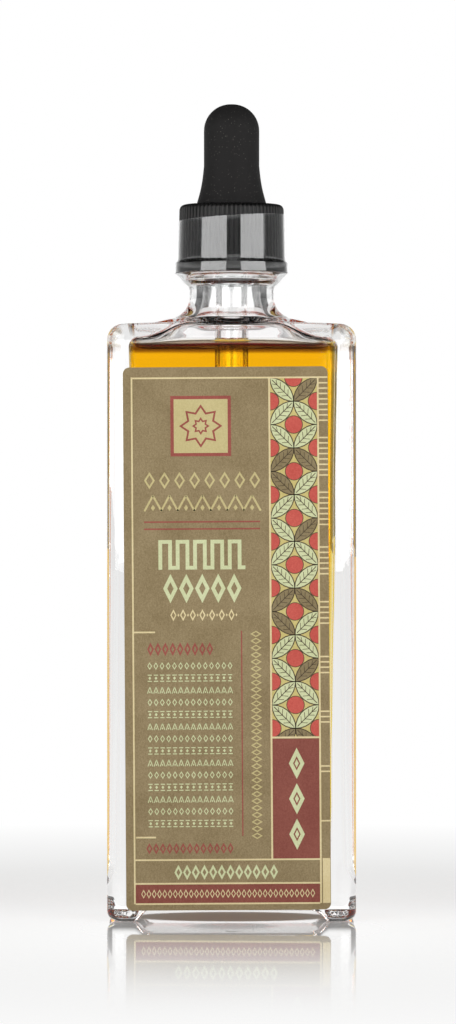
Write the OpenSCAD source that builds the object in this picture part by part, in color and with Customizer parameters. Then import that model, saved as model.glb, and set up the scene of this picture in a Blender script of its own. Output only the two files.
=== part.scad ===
// Flat-sided glass dropper bottle, filled, with a paper label on its front.
// Sizes are millimetres, +Z is up and the front faces -Y. The origin is on the
// table, under the middle of the bottle.

/* [Glass body] */
// Width of the body across its front
body_w = 53; // [48:0.5:60]
// Depth of the body from front to back
body_d = 29; // [27:0.5:36]
// Height of the shoulder's outer edge above the table
shoulder_h = 127.6; // [122:0.2:140]
// How far the shoulder climbs from its edge to the neck
shoulder_rise = 1.6; // [1:0.1:3]
// Radius of the four upright corners
corner_r = 4; // [3.8:0.1:5]
// Radius of the edge round the shoulder
shoulder_r = 3.6; // [2.6:0.1:3.8]
// Radius of the heel round the base
heel_r = 2.2; // [1.6:0.1:2.4]

/* [Glass walls] */
// Wall of the two narrow sides at the shoulder
side_wall = 4.4; // [3:0.1:5.4]
// Wall of the front and back at the shoulder
face_wall = 3.6; // [2.6:0.1:4.4]
// Extra wall at the foot of the narrow sides, where the glass is heavier
side_gain = 1.5; // [0:0.1:2.5]
// Extra wall at the foot of the front and back
face_gain = 0.4; // [0:0.1:1.4]
// Glass between the table and the liquid
base_wall = 7; // [5.6:0.1:9]
// Glass over the liquid at the shoulder
shoulder_wall = 3.2; // [2.4:0.1:3.8]
// Radius of the cavity's corners at the shoulder
cavity_top_r = 3; // [2:0.1:3.6]
// Radius of the cavity's corners at the base
cavity_foot_r = 5; // [3.5:0.1:6.5]

/* [Feet] */
// Height of the arch between two feet
arch_h = 2.4; // [1:0.1:2.5]
// Length of a foot along the front, on the table
foot_w = 5.9; // [4.6:0.1:8]
// Length of a foot along the narrow side, on the table
foot_d = 5.9; // [4.6:0.1:8]
// Run of the slope from a foot's inner edge up to its arch
foot_slope = 2.8; // [1:0.1:4]
// Rise of the dimple in the middle of the base, above the arches
dimple_rise = 1.2; // [0.4:0.1:2]
// Radius of the dimple at the arches' height
dimple_r = 11; // [8:0.5:12.5]

/* [Neck] */
// Outer diameter of the neck
neck_d = 18.2; // [17.4:0.1:19.4]
// Bore of the neck and finish
bore_d = 13.2; // [11:0.1:14]
// Height of the plain neck, from the shoulder to the ring
neck_h = 6.6; // [5:0.1:9]
// Radius of the sweep from neck to shoulder
neck_sweep = 2.5; // [1.5:0.1:3]
// Outer diameter of the ring under the cap
ring_d = 20; // [19.4:0.1:20.2]
// Height of the ring
ring_h = 2.3; // [1.6:0.1:2.6]
// Diameter of the finish that the cap screws over
finish_d = 17.8; // [16.8:0.1:18.6]
// Height of the finish, from the ring to the rim
finish_h = 11.7; // [10:0.1:14]
// Radius of the rim's outer edge
rim_r = 0.8; // [0.3:0.1:1.2]

/* [Screw cap] */
// Wall of the skirt over its ribs, just above the bottom band
skirt_wall = 1.45; // [1.2:0.05:2.2]
// How much further in the ribs stand at the top
cap_draft = 0.25; // [0.1:0.05:0.5]
// How far the plain bottom band stands out past the ribs
band_step = 0.35; // [0.2:0.05:1]
// Height of the plain band
band_h = 2; // [1.2:0.1:3]
// Thickness of the cap's top
cap_top_t = 1.5; // [1:0.1:2.2]
// Radius of the top edge
cap_edge_r = 1.1; // [0.5:0.1:1.6]
// Number of grip ribs
rib_count = 72; // [48:6:84]
// Radius of the groove between two ribs
groove_r = 0.25; // [0.15:0.01:0.35]
// Diameter of the hole for the bulb
cap_hole_d = 11.2; // [10:0.1:12]

/* [Rubber bulb] */
// Outer diameter of the barrel
bulb_d = 11.9; // [11.2:0.1:13]
// Height of the bulb above the cap
bulb_h = 21.9; // [18:0.1:28]
// Outer diameter of the foot where it meets the cap
bulb_foot_d = 15; // [13.6:0.1:16]
// Height above the cap at which the foot has tapered to the barrel
flare_h = 8.6; // [5:0.1:10]
// Radius of the dome's edge
dome_r = 5; // [3:0.1:5.5]
// Wall of the barrel
bulb_wall = 1.35; // [0.9:0.05:1.8]
// How far the sealing flange stays inside the finish's edge
seal_inset = 0.2; // [0:0.05:1]
// Thickness of that flange
seal_t = 1.5; // [1:0.1:2]
// How far the grip on the pipette reaches above the cap
grip_h = 4.6; // [3:0.1:6]

/* [Glass pipette] */
// Outer diameter of the tube
pipette_d = 7.2; // [6:0.1:7.8]
// Wall of the tube
pipette_wall = 0.8; // [0.6:0.05:1.2]
// Reach of the pipette below the rim
pipette_reach = 108; // [70:1:112]
// Length of the drawn tip
tip_h = 12; // [6:0.5:20]
// Outer diameter at the tip's end
tip_d = 2.8; // [2.2:0.1:3.6]
// Bore of the tip
tip_bore_d = 1.2; // [0.8:0.1:1.6]
// Section radius of the lip that holds the tube in the bulb
lip_r = 0.6; // [0.45:0.05:0.9]

/* [Liquid] */
// Height of the liquid's surface above the table
fill_h = 122.4; // [90:0.2:123]

/* [Label] */
// Width of the paper
label_w = 43.4; // [36:0.2:45]
// Height of the paper
label_h = 115.1; // [90:0.2:116]
// Thickness of the paper
label_t = 0.12; // [0.08:0.01:0.3]
// Radius of the paper's corners
label_r = 1.4; // [0.5:0.1:3]
// Lowest edge of the paper above the arches
label_lift = 0.25; // [0.2:0.05:4]
// How far the paper sits to the left of the middle
label_shift = 1; // [0:0.1:1.6]
// Tilt of the hand-laid paper, in degrees
label_tilt = 0.38; // [0:0.02:0.5]

/* [Shrink band] */
// Thickness of the film
film_t = 0.1; // [0.06:0.01:0.2]
// How far the film climbs the ribs, at the middle
film_climb = 9.8; // [5:0.1:10]
// Tilt of the film's upper edge, in degrees
film_tilt = 3.5; // [0:0.1:5]
// How far below the cap the film meets the neck
film_hang = 2.9; // [2.8:0.1:4.2]
// How far the film bows out over the ring
film_bow = 0.35; // [0.2:0.05:0.8]

/* [Hidden] */
$fn = 96;
// Facets round a ball or disc inside a hull
hull_fn = 32;
// How far a cutting tool runs past what it cuts
overrun = 1;
// Clearance between the liquid and the glass
liquid_gap = 0.1;
// Clearance round the pipette in the liquid
channel_gap = 0.1;
// Gap under the cap, above the ring
cap_gap = 0.3;
// Clearance of the skirt over the ring and the thread
skirt_gap = 0.2;
// Running clearance of the bulb's waist in the cap's hole
waist_gap = 0.1;
// Clearance of the tube in the bulb's grip
grip_gap = 0.05;
// Plain edge of the bulb's foot, below its taper
foot_land = 0.5;
// Clearance of the film over what it is shrunk on
film_gap = 0.05;
// Gap at the film's tear line, under the cap
tear_gap = 0.1;
// Plain land of film on the neck
film_land = 0.4;
// Height over which the film steps in from the band to the ribs
film_step = 0.5;
// Thickness of the disc at the neck's root
root_land = 0.6;
// Flare of the throat where the bore opens into the cavity
throat_flare = 0.6;
// Where the shoulder's edge is drawn, as shares of half the body's width
crown_shares = [-1, -0.75, -0.5, -0.25, 0.25, 0.5, 0.75, 1];

// Heights, from the table up
root_z = shoulder_h + shoulder_rise;
ring_z = root_z + neck_h;
finish_z = ring_z + ring_h;
rim_z = finish_z + finish_h;
cap_z = finish_z + cap_gap;
ribs_z = cap_z + band_h;
seal_z = rim_z + seal_t;
cap_top_z = seal_z + cap_top_t;
bulb_top_z = cap_top_z + bulb_h;
tip_z = rim_z - pipette_reach;
film_top_z = ribs_z + film_climb;
tear_z = cap_z - tear_gap;

// Radii used in several places
neck_r = neck_d / 2;
bore_r = bore_d / 2;
bulb_r = bulb_d / 2;
pipette_r = pipette_d / 2;
waist_r = cap_hole_d / 2 - waist_gap;
seal_r = finish_d / 2 - seal_inset;
skirt_bore_r = ring_d / 2 + skirt_gap;
cap_low_r = skirt_bore_r + skirt_wall;
cap_top_r = cap_low_r - cap_draft;
band_r = cap_low_r + band_step;

// The glass bottle

// A disc with a rounded edge, lying flat on the middle of its height.
module edge_disc(r, edge) {
    rotate_extrude($fn = hull_fn)
        intersection() {
            translate([r - edge, 0]) circle(edge);
            translate([0, -edge]) square([r, 2 * edge]);
        }
}

// Places a child at the four corners of a rectangle.
module at_corners(half_w, half_d, z) {
    for (x = [-half_w, half_w], y = [-half_d, half_d])
        translate([x, y, z]) children();
}

// The outside of the body, from the heel to the root of the neck. The shoulder
// is crowned: its edge follows an arc from side to side.
module body_outside() {
    half_w = body_w / 2 - corner_r;
    half_d = body_d / 2 - corner_r;
    hull() {
        at_corners(half_w, half_d, heel_r) edge_disc(corner_r, heel_r);
        for (share = crown_shares, y = [-half_d, half_d])
            translate([share * half_w, y, shoulder_h + shoulder_rise * (1 - share * share) - shoulder_r])
                edge_disc(corner_r, shoulder_r);
        translate([0, 0, root_z - root_land]) cylinder(r = neck_r + neck_sweep, h = root_land);
    }
}

// The hollow inside the bottle, from its floor to past the rim, drawn in by a
// clearance for what fills it. It narrows towards the base, where the glass is heavier.
module cavity(inset = 0) {
    top_w = body_w / 2 - side_wall - cavity_top_r;
    top_d = body_d / 2 - face_wall - cavity_top_r;
    foot_half_w = body_w / 2 - side_wall - side_gain - cavity_foot_r;
    foot_half_d = body_d / 2 - face_wall - face_gain - cavity_foot_r;
    hull() {
        at_corners(foot_half_w, foot_half_d, base_wall + cavity_foot_r)
            sphere(cavity_foot_r - inset, $fn = hull_fn);
        at_corners(top_w, top_d, shoulder_h - shoulder_wall - cavity_top_r)
            sphere(cavity_top_r - inset, $fn = hull_fn);
        translate([0, 0, root_z - shoulder_wall - throat_flare])
            cylinder(r = bore_r + throat_flare - inset, h = throat_flare - inset);
    }
    translate([0, 0, root_z - shoulder_wall - throat_flare])
        cylinder(r = bore_r - inset, h = rim_z - root_z + shoulder_wall + throat_flare + overrun);
}

// A bar with sloping sides, standing on the table, that cuts one arch.
module arch_tool(half_span, reach) {
    rotate([90, 0, 0])
        linear_extrude(height = 2 * reach, center = true)
            polygon([
                [-half_span - foot_slope * overrun / arch_h, -overrun],
                [half_span + foot_slope * overrun / arch_h, -overrun],
                [half_span - foot_slope, arch_h],
                [-half_span + foot_slope, arch_h]
            ]);
}

// The arches between the feet, and the dimple in the base.
module base_cuts() {
    dimple_ball_r = (dimple_r * dimple_r + dimple_rise * dimple_rise) / (2 * dimple_rise);
    arch_tool(body_w / 2 - foot_w, body_d / 2 + overrun);
    rotate([0, 0, 90]) arch_tool(body_d / 2 - foot_d, body_w / 2 + overrun);
    translate([0, 0, arch_h + dimple_rise - dimple_ball_r]) sphere(dimple_ball_r);
}

// Half the section of the neck, its ring and the finish, as one turned shape.
module neck_section() {
    sweep_r = neck_r + neck_sweep;
    ring_r = ring_h / 2;
    finish_r = finish_d / 2;
    difference() {
        translate([0, root_z - root_land]) square([sweep_r, neck_sweep + root_land]);
        translate([sweep_r, root_z + neck_sweep]) circle(neck_sweep);
    }
    translate([0, root_z]) square([neck_r, neck_h + ring_r]);
    translate([ring_d / 2 - ring_r, ring_z + ring_r]) circle(ring_r);
    translate([0, ring_z]) square([ring_d / 2 - ring_r, ring_h]);
    translate([0, finish_z - ring_r]) square([finish_r, finish_h + ring_r - rim_r]);
    translate([finish_r - rim_r, rim_z - rim_r]) circle(rim_r);
    translate([0, rim_z - 2 * rim_r]) square([finish_r - rim_r, 2 * rim_r]);
}

module glass_bottle() {
    color([0.86, 0.91, 0.9, 0.35])
        difference() {
            union() {
                body_outside();
                rotate_extrude() neck_section();
            }
            cavity();
            base_cuts();
        }
}

// The liquid stands clear of the glass, with a channel where the pipette hangs.
module bitters_liquid() {
    color([0.93, 0.6, 0.05, 0.7])
        difference() {
            intersection() {
                cavity(liquid_gap);
                translate([-body_w / 2, -body_d / 2, 0]) cube([body_w, body_d, fill_h]);
            }
            translate([0, 0, tip_z - channel_gap])
                cylinder(r = pipette_r + channel_gap, h = fill_h - tip_z + channel_gap + overrun);
        }
}

// The label

module rounded_rectangle(w, h, r) {
    square([w, h - 2 * r], center = true);
    square([w - 2 * r, h], center = true);
    for (x = [r - w / 2, w / 2 - r], y = [r - h / 2, h / 2 - r])
        translate([x, y]) circle(r);
}

module front_label() {
    color([0.55, 0.49, 0.38])
        translate([-label_shift, -body_d / 2, arch_h + label_lift + label_h / 2])
            rotate([90, 0, 0])
                linear_extrude(height = label_t)
                    rotate(label_tilt) rounded_rectangle(label_w, label_h, label_r);
}

// The screw cap

// Half the outer section of the cap, with its draft and rounded top edge.
module cap_section() {
    translate([0, cap_z]) square([band_r, band_h]);
    polygon([
        [0, cap_z],
        [cap_low_r, cap_z],
        [cap_low_r, ribs_z],
        [cap_top_r, cap_top_z - cap_edge_r],
        [0, cap_top_z - cap_edge_r]
    ]);
    translate([cap_top_r - cap_edge_r, cap_top_z - cap_edge_r]) circle(cap_edge_r);
    translate([0, cap_top_z - 2 * cap_edge_r])
        square([cap_top_r - cap_edge_r, 2 * cap_edge_r]);
}

// One round groove that follows the draft of the ribs.
module rib_groove() {
    rib_h = cap_top_z - cap_edge_r - ribs_z;
    translate([cap_low_r, 0, ribs_z])
        rotate([0, -atan(cap_draft / rib_h), 0])
            cylinder(r = groove_r, h = rib_h + cap_edge_r + overrun, $fn = hull_fn);
}

module screw_cap() {
    color([0.13, 0.13, 0.13])
        difference() {
            rotate_extrude() cap_section();
            for (i = [0 : rib_count - 1])
                rotate([0, 0, i * 360 / rib_count]) rib_groove();
            translate([0, 0, cap_z - overrun])
                cylinder(r = skirt_bore_r, h = seal_z - cap_z + overrun);
            translate([0, 0, cap_z]) cylinder(d = cap_hole_d, h = cap_top_z - cap_z + overrun);
        }
}

// The shrink band

// A skin of film outside a line of points that runs from low to high.
module film_skin(line) {
    outer = [for (p = line) [p[0] + film_t, p[1]]];
    rotate_extrude()
        polygon(concat(line, [for (i = [len(outer) - 1 : -1 : 0]) outer[i]]));
}

// The part of the film that is shrunk on the cap and turns with it.
module shrink_band() {
    low_r = cap_low_r + film_gap;
    rib_h = cap_top_z - cap_edge_r - ribs_z;
    top_h = film_climb + low_r * tan(film_tilt);
    top_r = low_r - cap_draft * top_h / rib_h;
    color([0.85, 0.88, 0.9, 0.4])
        difference() {
            film_skin([
                [band_r + film_gap, cap_z],
                [band_r + film_gap, ribs_z],
                [low_r, ribs_z + film_step],
                [top_r, ribs_z + top_h]
            ]);
            translate([0, 0, film_top_z])
                rotate([0, -film_tilt, 0])
                    translate([-2 * band_r, -2 * band_r, 0]) cube([4 * band_r, 4 * band_r, 2 * band_r]);
        }
}

// The part of the film below the tear line, which stays on the neck.
module shrink_band_tail() {
    color([0.85, 0.88, 0.9, 0.4])
        film_skin([
            [neck_r + film_gap, cap_z - film_hang - film_land],
            [neck_r + film_gap, cap_z - film_hang],
            [ring_d / 2 + film_bow, ring_z + ring_h / 2],
            [band_r + film_gap, tear_z]
        ]);
}

// The rubber bulb

// Half the outer section: seal flange, waist, tapered foot, barrel and dome.
module bulb_outline() {
    foot_r = bulb_foot_d / 2;
    barrel_z = cap_top_z + flare_h;
    translate([0, rim_z]) square([seal_r, seal_t]);
    translate([0, rim_z]) square([waist_r, cap_top_z - rim_z + foot_land]);
    polygon([
        [0, cap_top_z],
        [foot_r, cap_top_z],
        [foot_r, cap_top_z + foot_land],
        [bulb_r, barrel_z],
        [0, barrel_z]
    ]);
    translate([0, barrel_z]) square([bulb_r, bulb_top_z - dome_r - barrel_z]);
    translate([bulb_r - dome_r, bulb_top_z - dome_r])
        intersection() {
            circle(dome_r);
            translate([dome_r - bulb_r, 0]) square([bulb_r, dome_r]);
        }
    translate([0, bulb_top_z - dome_r]) square([bulb_r - dome_r, dome_r]);
}

// Half the section of the air chamber and of the grip on the tube.
module bulb_hollow() {
    chamber_r = bulb_r - bulb_wall;
    chamber_z = cap_top_z + grip_h;
    roof_r = dome_r - bulb_wall;
    translate([0, rim_z - overrun])
        square([pipette_r + grip_gap, chamber_z - rim_z + overrun]);
    translate([0, chamber_z]) square([chamber_r, bulb_top_z - dome_r - chamber_z]);
    translate([bulb_r - dome_r, bulb_top_z - dome_r])
        intersection() {
            circle(roof_r);
            translate([dome_r - bulb_r, 0]) square([bulb_r, roof_r]);
        }
    translate([0, bulb_top_z - dome_r]) square([bulb_r - dome_r, roof_r]);
}

module rubber_bulb() {
    color([0.1, 0.1, 0.1])
        rotate_extrude()
            difference() {
                bulb_outline();
                bulb_hollow();
            }
}

// The glass pipette

// Half the section of the tube, its drawn tip, and the lip above the grip.
module glass_pipette() {
    inner_r = pipette_r - pipette_wall;
    lip_z = cap_top_z + grip_h + lip_r + grip_gap;
    color([0.86, 0.91, 0.9, 0.5])
        rotate_extrude() {
            polygon([
                [tip_bore_d / 2, tip_z],
                [tip_d / 2, tip_z],
                [pipette_r, tip_z + tip_h],
                [pipette_r, lip_z],
                [inner_r, lip_z],
                [inner_r, tip_z + tip_h]
            ]);
            translate([inner_r + lip_r, lip_z]) circle(lip_r);
        }
}

// The liquid that stands in the tube, level with the liquid outside it.
module pipette_liquid() {
    column_r = pipette_r - pipette_wall - liquid_gap;
    color([0.93, 0.6, 0.05, 0.7])
        rotate_extrude()
            polygon([
                [0, tip_z],
                [tip_bore_d / 2 - liquid_gap, tip_z],
                [column_r, tip_z + tip_h],
                [column_r, fill_h],
                [0, fill_h]
            ]);
}

glass_bottle();
bitters_liquid();
front_label();
screw_cap();
shrink_band();
shrink_band_tail();
rubber_bulb();
glass_pipette();
pipette_liquid();
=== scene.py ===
import math

import bmesh
import bpy
import numpy as np
from mathutils import Matrix, Vector, noise


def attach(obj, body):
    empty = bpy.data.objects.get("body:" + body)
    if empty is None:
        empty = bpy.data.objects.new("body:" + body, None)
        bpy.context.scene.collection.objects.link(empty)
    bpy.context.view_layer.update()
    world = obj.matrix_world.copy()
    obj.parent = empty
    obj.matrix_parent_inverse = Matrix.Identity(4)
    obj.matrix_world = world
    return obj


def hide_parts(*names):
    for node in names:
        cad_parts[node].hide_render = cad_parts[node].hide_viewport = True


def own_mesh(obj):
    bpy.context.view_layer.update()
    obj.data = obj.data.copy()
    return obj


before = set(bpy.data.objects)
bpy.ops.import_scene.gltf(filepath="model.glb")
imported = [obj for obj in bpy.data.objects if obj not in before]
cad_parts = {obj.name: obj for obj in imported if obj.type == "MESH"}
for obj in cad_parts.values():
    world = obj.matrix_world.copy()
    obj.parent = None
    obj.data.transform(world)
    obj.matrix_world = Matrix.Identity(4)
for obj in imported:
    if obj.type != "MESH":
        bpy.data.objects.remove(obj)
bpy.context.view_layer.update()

studio = bpy.context.scene

# The glass bottle is one moulded piece of flint glass: a flat-sided body on four feet, a round neck,
# the ring that lifts it out of its mould, and the finish with its thread. The mould makes the outside
# true, while the inside is blown, so its walls wave and grow heavier towards the base.
MM = 0.001
body_half_w = 26.5
body_half_d = 14.46
corner_r = 4.0
heel_r = 2.2
edge_r = 3.2
edge_top_z = 126.9
crown_h = 0.65
arch_h = 2.4
arch_fade_z = 8.0
foot_inner_x = 20.6
foot_inner_y = 8.6
foot_slope = 2.8
dimple_r = 11.0
dimple_rise = 1.2
neck_r = 9.1
neck_foot_w = 14.3
neck_foot_d = 10.8
neck_foot_z = 128.4
neck_bump = 1.1
neck_bump_w = 13.5
neck_bump_run = 8.5
neck_lift = 1.25
neck_lift_from = 0.45
neck_lift_run = 0.75
neck_sweep = 4.7
neck_straight = (133.4, 134.6)
ring_z = 135.8
ring_r = 10.0
ring_h = 2.3
finish_r = 8.9
finish_z = ring_z + ring_h
finish_heights = [finish_z + 0.4 + 1.05 * i for i in range(10)]
rim_z = 149.8
rim_r = 0.8
bore_r = 6.6
bore_edge_r = 0.4
bore_heights = (146, 144, 142, 140, 138, 136)
neck_bore_r = 6.1
throat_foot_w = 10.8
throat_foot_d = 8.3
throat_top_z = 134.8
throat_crown = 0.3
throat_rise = 2.1
throat_start_x = 19.5
throat_end_x = 7.0
cavity_left_w = 21.8
cavity_right_w = 22.4
cavity_half_d = 10.9
cavity_foot_loss_w = 1.3
cavity_foot_loss_d = 0.4
cavity_top_z = 124.0
cavity_top_r = 1.9
cavity_floor_z = 7.0
cavity_foot_r = 5.0
left_corner_r = 1.1
left_corner_gain = 1.6
left_corner_loss = 0.2
left_corner_least = 0.8
right_corner_r = 4.2
right_corner_loss = 0.5
right_corner_least = 1.2
wall_top_z = cavity_top_z - cavity_top_r
wall_low_z = cavity_floor_z + cavity_foot_r
push_up = 0.8
wave_depth = 0.22
wave_length = 17.0
side_steps = 12
corner_steps = 14
front_steps = 26
base_steps = 20
heel_steps = 6
edge_steps = 9
wall_steps = 18
outer_wall_shares = (0.01, 0.02, 0.035, 0.05, 0.07, 0.1, 0.2, 0.35, 0.5, 0.65, 0.8, 0.9, 0.95)
hair = 1e-4


def linear(colour):
    """An sRGB hex colour, such as "#938062", as linear red, green, blue and alpha."""
    shares = [int(colour[i:i + 2], 16) / 255 for i in (1, 3, 5)]
    return [s / 12.92 if s <= 0.04045 else ((s + 0.055) / 1.055) ** 2.4 for s in shares] + [1.0]


def add(tree, kind, inputs=None, **properties):
    """Adds a node. An input takes a value, a colour, a socket, or a node for its first live output."""
    made = tree.nodes.new(kind)
    for name, value in properties.items():
        setattr(made, name, value)
    for name, value in (inputs or {}).items():
        if isinstance(value, bpy.types.Node):
            value = next(socket for socket in value.outputs if socket.enabled)
        if isinstance(value, bpy.types.NodeSocket):
            tree.links.new(value, made.inputs[name])
        else:
            made.inputs[name].default_value = linear(value) if isinstance(value, str) else value
    return made


def material_of(name, kind, **choices):
    """A material of a kind, a function that makes its surface in a tree from Object coordinates."""
    made = bpy.data.materials.new(name)
    made.use_nodes = True
    tree = made.node_tree
    tree.nodes.clear()
    place = add(tree, "ShaderNodeTexCoord").outputs["Object"]
    add(tree, "ShaderNodeOutputMaterial", kind(tree, place, **choices))
    return made


def mesh_of(points, faces):
    """A mesh from points in millimetres."""
    made = bpy.data.meshes.new("mesh")
    made.from_pydata([tuple(p) for p in np.array(points, float) * MM], [], faces)
    made.update()
    return made


def piece(name, mesh, body, material, stands_for=(), sharp_angle=40):
    """Puts a finished mesh in the scene, on its body and in place of its CAD nodes."""
    mesh.name = name
    mesh.materials.clear()
    mesh.materials.append(material)
    mesh.shade_smooth()
    mesh.set_sharp_from_angle(angle=math.radians(sharp_angle))
    made = bpy.data.objects.new(name, mesh)
    studio.collection.objects.link(made)
    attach(made, body)
    if stands_for:
        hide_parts(*stands_for)
    return made


def skin(rings, poles=None, closed=False):
    """A mesh through rings of points. It ends in two poles, in its own first ring, or in flat faces."""
    count = len(rings[0])
    points = [p for ring in rings for p in ring]
    last = len(points) - count
    faces = []
    for i in range(len(rings) if closed else len(rings) - 1):
        low, high = i * count, (i + 1) % len(rings) * count
        faces += [(low + j, low + (j + 1) % count, high + (j + 1) % count, high + j) for j in range(count)]
    if poles:
        points += poles
        faces += [(last + count, (j + 1) % count, j) for j in range(count)]
        faces += [(last + j, last + (j + 1) % count, last + count + 1) for j in range(count)]
    elif not closed:
        faces += [tuple(reversed(range(count))), tuple(range(last, last + count))]
    return mesh_of(points, faces)


def smooth_step(x):
    x = np.clip(x, 0.0, 1.0)
    return x * x * (3 - 2 * x)


def arc(centre_r, centre_z, radius, start, end, steps):
    """Points of a round stretch of a profile, with its angles in degrees."""
    turns = [math.radians(start + (end - start) * i / steps) for i in range(steps + 1)]
    return [(centre_r + radius * math.cos(a), centre_z + radius * math.sin(a)) for a in turns]


def quarter_turn(steps, start=0):
    """How far in and how far up a quarter circle has come at each step, as shares of its radius."""
    turns = [math.pi / 2 * i / steps for i in range(start, steps + 1)]
    return [(1 - math.cos(a), math.sin(a)) for a in turns]


def body_angles():
    """Directions from the axis that fall evenly on the body's sides and closely on its corners."""
    straight_w, straight_d = body_half_w - corner_r, body_half_d - corner_r
    quarter = [(body_half_w, straight_d * i / side_steps) for i in range(side_steps)]
    quarter += [(straight_w + corner_r * math.cos(a), straight_d + corner_r * math.sin(a))
                for a in (math.pi / 2 * i / corner_steps for i in range(corner_steps))]
    quarter += [(straight_w * (1 - i / front_steps), body_half_d) for i in range(front_steps)]
    first = [math.atan2(y, x) for x, y in quarter]
    half = first + [math.pi / 2] + [math.pi - a for a in reversed(first[1:])]
    return np.array(half + [a + math.pi for a in half])


def box_reach(angles, half_w, half_d, corner):
    """Distance from the axis to a rounded rectangle, in each direction."""
    c, s = np.abs(np.cos(angles)), np.abs(np.sin(angles))
    corner = min(corner, half_w, half_d)
    inner_w, inner_d = half_w - corner, half_d - corner
    to_side, to_front = half_w / np.maximum(c, 1e-9), half_d / np.maximum(s, 1e-9)
    along = c * inner_w + s * inner_d
    to_corner = along + np.sqrt(np.maximum(along ** 2 - inner_w ** 2 - inner_d ** 2 + corner ** 2, 0))
    return np.where(to_side * s <= inner_d, to_side, np.where(to_front * c <= inner_w, to_front, to_corner))


def body_reach(angles, inset):
    return box_reach(angles, body_half_w - inset, body_half_d - inset, corner_r - inset)


def oval_reach(angles, half_w, half_d):
    return half_w * half_d / np.hypot(half_d * np.cos(angles), half_w * np.sin(angles))


def ring_at(angles, reach, z):
    reach = np.broadcast_to(reach, angles.shape)
    z = np.broadcast_to(z, angles.shape)
    return np.stack([reach * np.cos(angles), reach * np.sin(angles), z], axis=1)


def flat_arc(x):
    """From 0 at the body's two sides to 1 in its middle."""
    return np.clip(1 - (x / body_half_w) ** 2, 0, 1)


def crown(x):
    """How far the shoulder rises above its two ends: a flat arc, and a swelling that carries the neck."""
    return crown_h * flat_arc(x) + neck_bump * smooth_step((neck_bump_w - np.abs(x)) / neck_bump_run)


def throat(x):
    """How far the cavity's roof rises above its two ends, on its way into the neck."""
    across = (throat_start_x - np.abs(x)) / (throat_start_x - throat_end_x)
    return throat_crown * flat_arc(x) + throat_rise * smooth_step(across)


def raised(ring, rise, weight):
    """Adds a rise that depends on x to a ring's heights."""
    ring = ring.copy()
    ring[:, 2] += rise(ring[:, 0]) * weight
    return ring


def arched(ring):
    """Lifts what lies between the feet to the arches, and fades that out up the wall."""
    across = smooth_step((foot_inner_x - np.abs(ring[:, 0])) / foot_slope)
    along = smooth_step((foot_inner_y - np.abs(ring[:, 1])) / foot_slope)
    ring = ring.copy()
    ring[:, 2] += arch_h * np.maximum(across, along) * np.clip(1 - ring[:, 2] / arch_fade_z, 0, 1)
    return ring


def cavity_reach(angles, half_d, share, inset):
    """The cavity's outline. The mould's two halves part unevenly, so one side is wider and rounder."""
    loss = cavity_foot_loss_w * share + inset
    left_r = max(left_corner_r + left_corner_gain * share - left_corner_loss * inset, left_corner_least)
    right_r = max(right_corner_r - right_corner_loss * inset, right_corner_least)
    left = box_reach(angles, cavity_left_w - loss, half_d - inset, left_r)
    right = box_reach(angles, cavity_right_w - loss, half_d - inset, right_r)
    return np.where(np.cos(angles) > 0, right, left)


def cavity_ring(angles, base_z, grow=0.0):
    """The wall of the cavity at a height, before the shoulder's crown; grow moves it into the glass."""
    share = np.clip((wall_top_z - base_z) / (cavity_top_z - cavity_floor_z), 0, 1)
    over = max(base_z - wall_top_z, 0) / cavity_top_r
    under = max(wall_low_z - base_z, 0) / cavity_foot_r
    inset = cavity_top_r * (1 - math.sqrt(max(1 - over ** 2, 0)))
    inset += cavity_foot_r * (1 - math.sqrt(max(1 - under ** 2, 0)))
    reach = cavity_reach(angles, cavity_half_d - cavity_foot_loss_d * share, share, inset)
    waves = np.array([noise.noise(Vector(p) / wave_length) for p in ring_at(angles, reach, base_z)])
    reach = reach + wave_depth * (1 - over) * (1 - under) * waves + grow
    return raised(ring_at(angles, reach, base_z), throat, smooth_step(over))


def floor_ring(angles, share, sink=0.0):
    """The cavity's floor, pushed up in its middle, at a share of its width."""
    ring = cavity_ring(angles, cavity_floor_z) * [share, share, 1]
    ring[:, 2] += push_up * (1 - share ** 2) - sink
    return ring


def base_and_wall(angles):
    """The outside from the middle of the base to the foot of the neck."""
    rings = []
    base = body_reach(angles, heel_r)
    for i in range(1, base_steps):
        ring = ring_at(angles, base * i / base_steps, 0.0)
        away = np.hypot(ring[:, 0], ring[:, 1]) / dimple_r
        ring[:, 2] = dimple_rise * np.clip(1 - away ** 2, 0, 1)
        rings.append(arched(ring))
    for run, rise in quarter_turn(heel_steps):
        rings.append(arched(ring_at(angles, body_reach(angles, heel_r * (1 - rise)), heel_r * run)))
    edge_z = edge_top_z - edge_r
    outline = body_reach(angles, 0)
    for share in outer_wall_shares:
        rings.append(arched(ring_at(angles, outline, heel_r + (edge_z - heel_r) * share)))
    for i, (run, rise) in enumerate(quarter_turn(edge_steps)):
        ring = ring_at(angles, body_reach(angles, edge_r * run), edge_z + edge_r * rise)
        rings.append(raised(ring, crown, i / edge_steps))
    shoulder = body_reach(angles, edge_r)
    neck_foot = oval_reach(angles, neck_foot_w, neck_foot_d)
    for i in range(1, edge_steps):
        share = i / edge_steps
        ring = raised(ring_at(angles, shoulder + (neck_foot - shoulder) * share, edge_top_z), crown, 1.0)
        near = neck_lift * smooth_step((share - neck_lift_from) / neck_lift_run)
        ring[:, 2] += (neck_foot_z - ring[:, 2]) * near
        rings.append(ring)
    for run, rise in reversed(quarter_turn(edge_steps)):
        reach = neck_r + (neck_foot - neck_r) * run
        rings.append(ring_at(angles, reach, neck_foot_z + neck_sweep * (1 - rise)))
    return rings


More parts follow.
